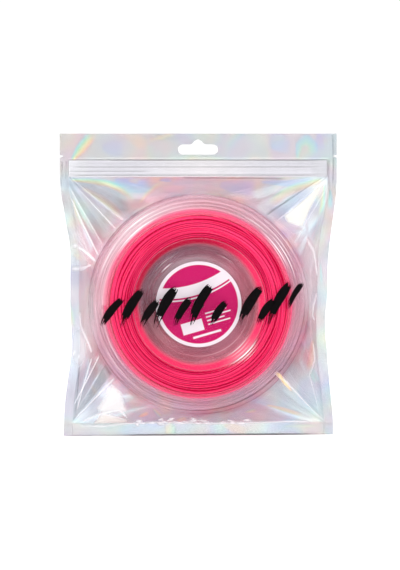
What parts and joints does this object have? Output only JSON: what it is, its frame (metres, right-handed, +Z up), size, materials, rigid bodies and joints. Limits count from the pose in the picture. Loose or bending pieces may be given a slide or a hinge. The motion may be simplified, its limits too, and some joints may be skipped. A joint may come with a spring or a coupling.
{
  "type": "string reel",
  "caption": "Clear plastic spool wound with pink racket string, sealed in a flat zip pouch with a clear front, a silvery back and a hang slot.",
  "frame": {"origin": "centre of the hang slot in the pouch's header, midway between the two films", "axes": "+X to the right seen from the clear front, +Y out of the silvery back, +Z up to the header's top edge"},
  "size_m": [0.2284, 0.034, 0.2502],
  "materials": {
    "clear_film": "clear glossy film",
    "silver_film": "metallised holographic film",
    "zip_plastic": "translucent polyethylene",
    "clear_plastic": "clear moulded plastic",
    "label_paper": "printed satin sticker",
    "string_plastic": "bright pink polyester monofilament"
  },
  "bodies": {
    "pouch": {"front_film": "clear_film", "back_film": "silver_film", "zip_rib_strip": "zip_plastic", "zip_channel_strip": "zip_plastic"},
    "reel": {"reel_front_half": "clear_plastic", "reel_back_half": "clear_plastic", "reel_label": "label_paper", "string_inner_layers": "string_plastic", "string_outer_turns": "string_plastic"}
  },
  "joints": [
    {"name": "reel_turn", "type": "hinge", "parent": "pouch", "child": "reel", "pos_m": [0, 0, -0.1276], "axis": [0, -1, 0], "continuous": true}
  ]
}
